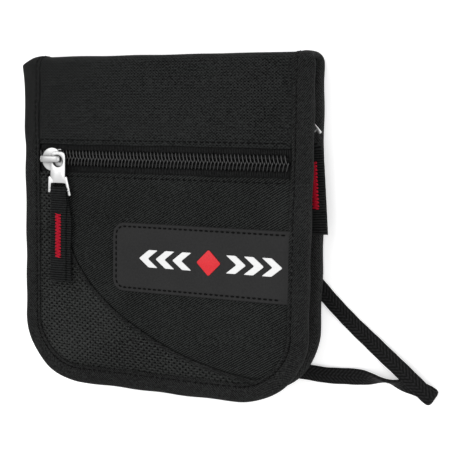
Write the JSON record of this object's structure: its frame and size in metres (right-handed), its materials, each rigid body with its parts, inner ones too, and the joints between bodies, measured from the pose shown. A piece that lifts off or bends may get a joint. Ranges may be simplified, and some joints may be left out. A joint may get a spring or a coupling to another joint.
{
  "type": "neck pouch wallet",
  "caption": "Flat black fabric neck pouch with a folded-over front flap, a zip pocket on the flap, a second zip under it, webbing pulls and a flat neck cord.",
  "frame": {"origin": "bottom centre of the pouch lying on its back: centre of its outline, on the surface that it lies on", "axes": "+X towards the right edge seen from the front, +Y towards the top fold, +Z out of the front face"},
  "size_m": [0.1991, 0.1551, 0.0253],
  "materials": {
    "outer_fabric": "black polyester twill, matt",
    "lining_fabric": "charcoal woven lining, matt",
    "mesh_fabric": "black ribbed mesh",
    "binding_tape": "black woven binding tape",
    "zip_tape": "black woven zip tape",
    "zip_coil": "black nylon coil, satin",
    "nickel": "satin nickel plated die casting",
    "webbing": "black ribbed grosgrain",
    "red_thread": "red polyester thread",
    "badge_rubber": "dark grey moulded PVC, matt",
    "badge_white": "white moulded PVC",
    "badge_red": "red moulded PVC",
    "hook_loop": "black hook and loop",
    "cord_braid": "black flat polyester braid"
  },
  "bodies": {
    "rear_body": {"back_panel": "outer_fabric", "rear_binding": "binding_tape", "rear_lining": "lining_fabric", "rear_upper_panel": "outer_fabric", "rear_lower_panel": "outer_fabric", "inner_zip_tape_upper": "zip_tape", "inner_zip_tape_lower": "zip_tape", "inner_zip_coil_upper": "zip_coil", "inner_zip_coil_lower": "zip_coil", "loop_patch": "hook_loop", "cord_tab_left": "webbing", "cord_tab_right": "webbing", "neck_cord_out": "cord_braid", "neck_cord_bight": "cord_braid", "neck_cord_back": "cord_braid", "neck_cord_left": "cord_braid", "neck_cord_coil": "cord_braid"},
    "spine": {"spine_cover": "outer_fabric", "spine_lining": "lining_fabric"},
    "flap": {"flap_upper_panel": "outer_fabric", "flap_lower_panel": "outer_fabric", "mesh_insert": "mesh_fabric", "insert_piping": "binding_tape", "flap_backing": "lining_fabric", "flap_binding": "binding_tape", "front_zip_tape_upper": "zip_tape", "front_zip_tape_lower": "zip_tape", "front_zip_coil_upper": "zip_coil", "front_zip_coil_lower": "zip_coil", "badge": "badge_rubber", "badge_chevrons": "badge_white", "badge_diamond": "badge_red", "hook_patch": "hook_loop"},
    "front_slider": {"front_slider": "nickel", "front_slider_crown": "nickel"},
    "front_pull": {"front_puller": "nickel"},
    "front_webbing": {"front_pull_webbing": "webbing", "front_pull_bartack": "red_thread"},
    "inner_slider": {"inner_slider": "nickel", "inner_slider_crown": "nickel"},
    "inner_pull": {"inner_puller": "nickel"},
    "inner_webbing": {"inner_pull_webbing": "webbing", "inner_pull_bartack": "red_thread"}
  },
  "joints": [
    {"name": "spine_hinge", "type": "hinge", "parent": "rear_body", "child": "spine", "pos_m": [0, 0.0772, 0.0034], "axis": [-1, 0, 0], "range_deg": [0, 80]},
    {"name": "flap_hinge", "type": "hinge", "parent": "spine", "child": "flap", "pos_m": [0, 0.0772, 0.0136], "axis": [-1, 0, 0], "range_deg": [0, 80]},
    {"name": "front_zip_slide", "type": "slide", "parent": "flap", "child": "front_slider", "axis": [1, 0, 0], "range_m": [0, 0.108]},
    {"name": "front_pull_swing", "type": "hinge", "parent": "front_slider", "child": "front_pull", "pos_m": [-0.0505, 0.0302, 0.02184], "axis": [0, 0.0523, 0.9986], "range_deg": [-35, 95]},
    {"name": "front_webbing_flip", "type": "hinge", "parent": "front_pull", "child": "front_webbing", "pos_m": [-0.0505, 0.01502, 0.02264], "axis": [-1, 0, 0], "range_deg": [0, 150]},
    {"name": "inner_zip_slide", "type": "slide", "parent": "rear_body", "child": "inner_slider", "axis": [-1, 0, 0], "range_m": [0, 0.108]},
    {"name": "inner_pull_swing", "type": "hinge", "parent": "inner_slider", "child": "inner_pull", "pos_m": [0.0593, 0.054, 0.00975], "axis": [0, 0, 1], "range_deg": [-35, 10]},
    {"name": "inner_webbing_swing", "type": "hinge", "parent": "inner_pull", "child": "inner_webbing", "pos_m": [0.06802, 0.04155, 0.00975], "axis": [0, 0, 1], "range_deg": [-6, 10]}
  ],
  "couplings": [
    {"joint": "flap_hinge", "follows": "spine_hinge", "ratio": 1}
  ]
}
